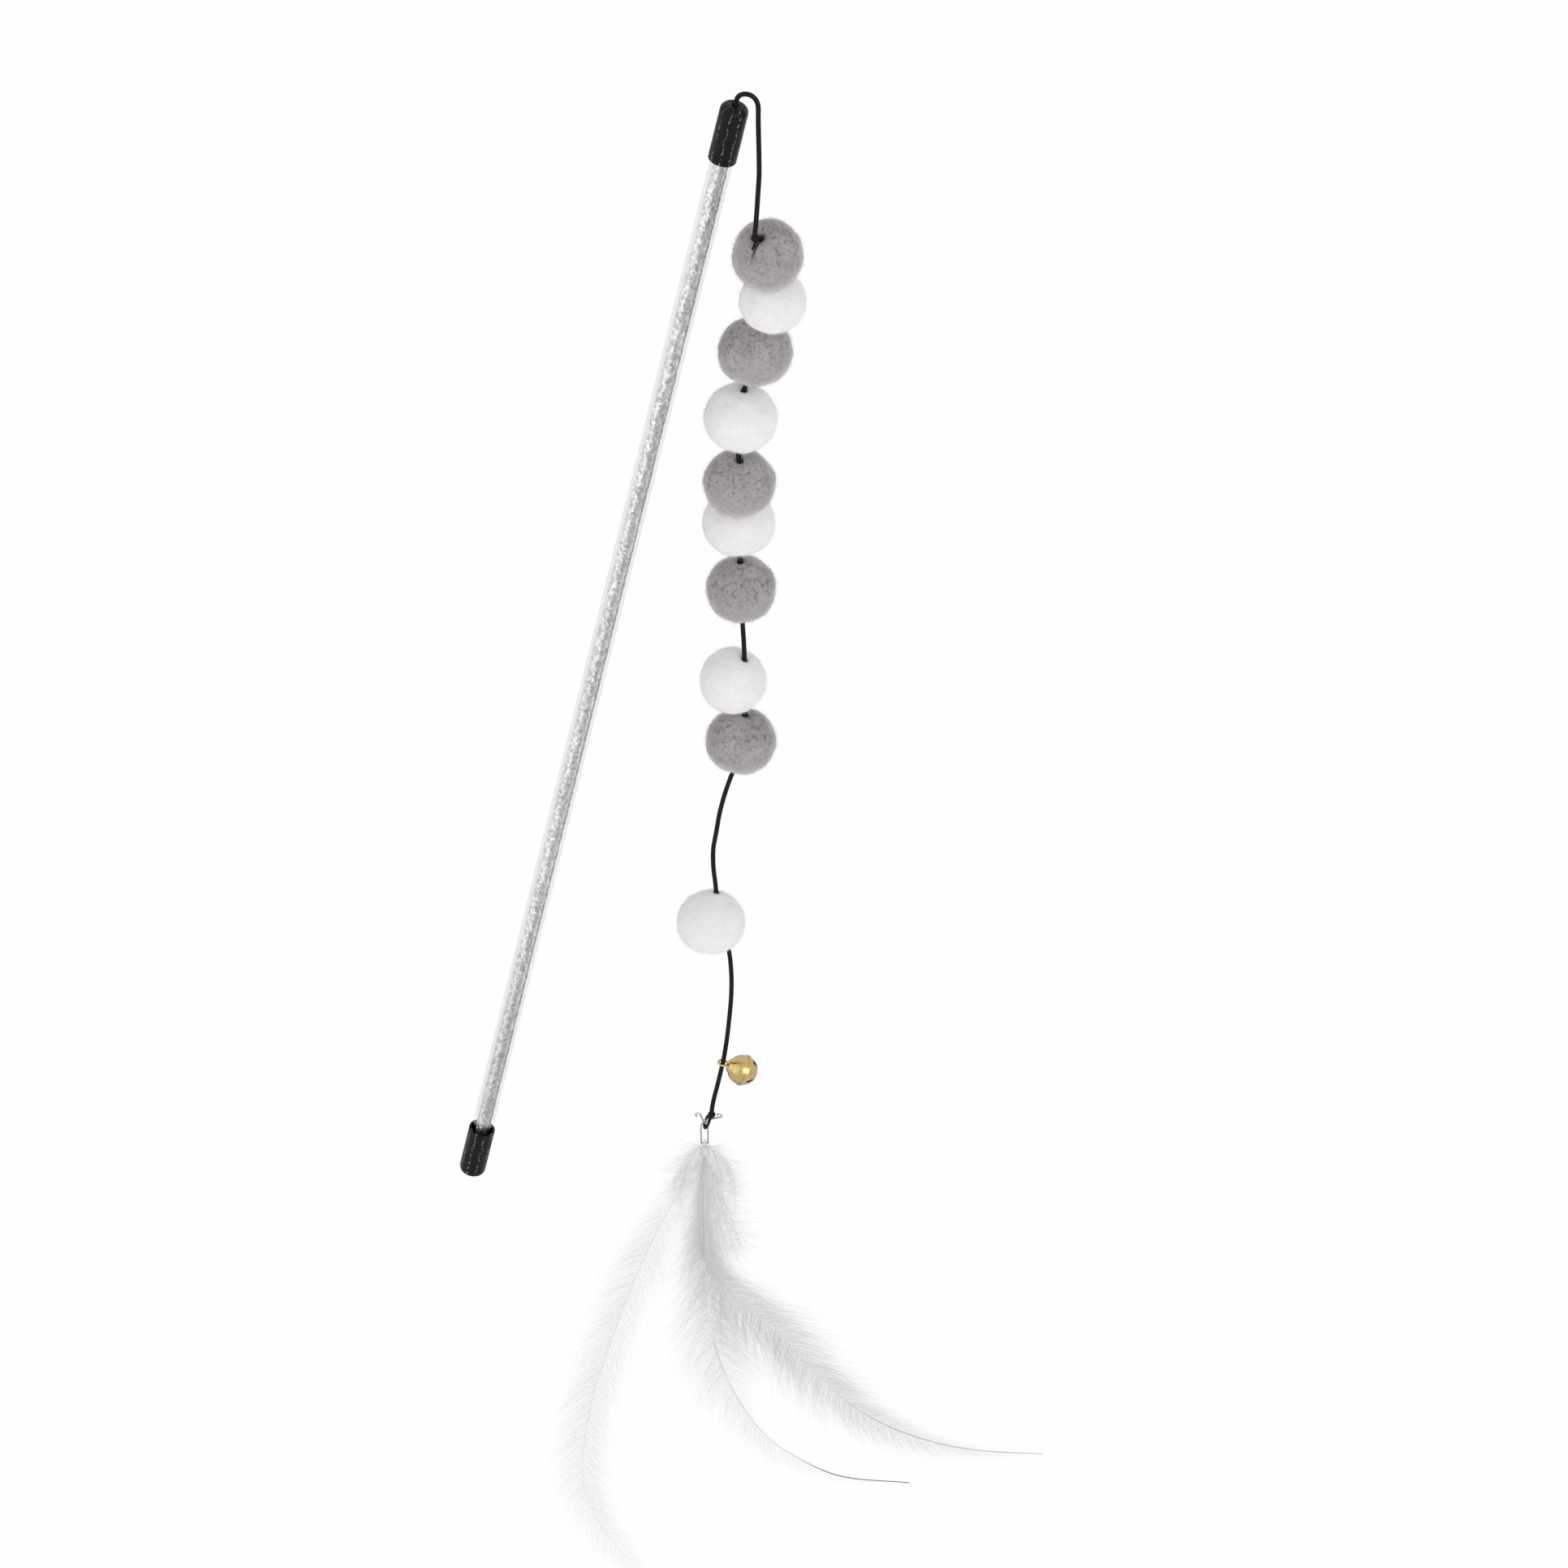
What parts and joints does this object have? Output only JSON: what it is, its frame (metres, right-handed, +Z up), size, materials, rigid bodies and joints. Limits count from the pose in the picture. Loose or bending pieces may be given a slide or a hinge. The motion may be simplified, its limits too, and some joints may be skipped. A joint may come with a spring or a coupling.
{
  "type": "cat teaser wand",
  "caption": "Clear rod with black end caps, an elastic cord of grey and white felt balls, a gold jingle bell and a wire clasp with white feathers.",
  "frame": {"origin": "on the rod's axis, at the middle of the handle cap's round outside", "axes": "+Z up with the wand held and its cord hanging; the rod leans 12 degrees from +Z towards +X; -Y faces the viewer"},
  "size_m": [0.1837, 0.0402, 0.5831],
  "materials": {
    "cap_rubber": "satin black rubber",
    "clear_plastic": "clear plastic tube",
    "silver_film": "crinkled silver film",
    "elastic_cord": "black elastic cord",
    "grey_felt": "grey wool felt",
    "white_felt": "white wool felt",
    "bell_metal": "polished gold bell metal",
    "pellet_steel": "steel",
    "clasp_steel": "bright silver wire",
    "feather_white": "white feather"
  },
  "bodies": {
    "wand": {"handle_cap": "cap_rubber", "clear_tube": "clear_plastic", "foil_roll": "silver_film", "tip_cap": "cap_rubber"},
    "cord_swivel": {"cord_stop_knot": "elastic_cord"},
    "tail": {"tail_cord": "elastic_cord", "upper_cord_knot": "elastic_cord", "cord_end_knot": "elastic_cord"},
    "ball_1": {"felt_ball_1": "grey_felt"},
    "ball_2": {"felt_ball_2": "white_felt"},
    "ball_3": {"felt_ball_3": "grey_felt"},
    "ball_4": {"felt_ball_4": "white_felt"},
    "ball_5": {"felt_ball_5": "grey_felt"},
    "ball_6": {"felt_ball_6": "white_felt"},
    "ball_7": {"felt_ball_7": "grey_felt"},
    "ball_8": {"felt_ball_8": "white_felt"},
    "ball_9": {"felt_ball_9": "grey_felt"},
    "ball_10": {"felt_ball_10": "white_felt"},
    "bell": {"bell_top_shell": "bell_metal", "bell_bottom_shell": "bell_metal", "bell_loop": "bell_metal"},
    "pellet": {"bell_pellet": "pellet_steel"},
    "clasp": {"clasp_wire": "clasp_steel"},
    "feathers": {"quill_binding": "feather_white", "short_plume": "feather_white", "feather_left": "feather_white", "feather_lower_right": "feather_white", "feather_upper_right": "feather_white"}
  },
  "joints": [
    {"name": "cord_twist", "type": "hinge", "parent": "wand", "child": "cord_swivel", "pos_m": [0.08129, 0, 0.38246], "axis": [0.2079, 0, 0.9781], "continuous": true},
    {"name": "tail_swing", "type": "hinge", "parent": "cord_swivel", "child": "tail", "pos_m": [0.08129, 0, 0.38246], "axis": [0, 1, 0], "range_deg": [-60, 4]},
    {"name": "ball_1_spin", "type": "hinge", "parent": "tail", "child": "ball_1", "pos_m": [0.08979, -0.008, 0.33746], "axis": [-0.1821, -0.3991, 0.8986], "continuous": true},
    {"name": "ball_2_spin", "type": "hinge", "parent": "tail", "child": "ball_2", "pos_m": [0.09125, -0.00149, 0.31758], "axis": [0.0829, -0.2635, 0.9611], "continuous": true},
    {"name": "ball_3_spin", "type": "hinge", "parent": "tail", "child": "ball_3", "pos_m": [0.08626, 0.003, 0.29726], "axis": [0.209, -0.1054, 0.9722], "continuous": true},
    {"name": "ball_4_spin", "type": "hinge", "parent": "tail", "child": "ball_4", "pos_m": [0.08199, 0.003, 0.27422], "axis": [0.1002, 0, 0.995], "continuous": true},
    {"name": "ball_5_spin", "type": "hinge", "parent": "tail", "child": "ball_5", "pos_m": [0.0816, 0.003, 0.25146], "axis": [0.017, -0.2305, 0.9729], "continuous": true},
    {"name": "ball_6_spin", "type": "hinge", "parent": "tail", "child": "ball_6", "pos_m": [0.08124, 0.01145, 0.23137], "axis": [-0.0016, -0.2305, 0.9731], "continuous": true},
    {"name": "ball_7_spin", "type": "hinge", "parent": "tail", "child": "ball_7", "pos_m": [0.08188, 0.01145, 0.20708], "axis": [-0.0244, 0.0209, 0.9995], "continuous": true},
    {"name": "ball_8_spin", "type": "hinge", "parent": "tail", "child": "ball_8", "pos_m": [0.08265, 0.01004, 0.17338], "axis": [0.0122, 0.0323, 0.9994], "continuous": true},
    {"name": "ball_9_spin", "type": "hinge", "parent": "tail", "child": "ball_9", "pos_m": [0.08165, 0.00956, 0.1523], "axis": [0.1325, 0.0078, 0.9912], "continuous": true},
    {"name": "ball_10_spin", "type": "hinge", "parent": "tail", "child": "ball_10", "pos_m": [0.07515, 0.01296, 0.0828], "axis": [-0.1418, -0.004, 0.9899], "continuous": true},
    {"name": "bell_turn", "type": "hinge", "parent": "tail", "child": "bell", "pos_m": [0.0755, 0.01296, 0.023], "axis": [0.1724, 0, 0.985], "continuous": true},
    {"name": "pellet_rattle", "type": "slide", "parent": "bell", "child": "pellet", "axis": [0, 0, 1], "range_m": [0, 0.005]},
    {"name": "clasp_swing", "type": "hinge", "parent": "tail", "child": "clasp", "pos_m": [0.07056, 0.01296, -0.00119], "axis": [0.9063, 0, -0.4226], "range_deg": [-60, 60]},
    {"name": "feather_swing", "type": "hinge", "parent": "clasp", "child": "feathers", "pos_m": [0.06967, 0.01296, -0.01009], "axis": [0, 1, 0], "range_deg": [-20, 20]}
  ]
}
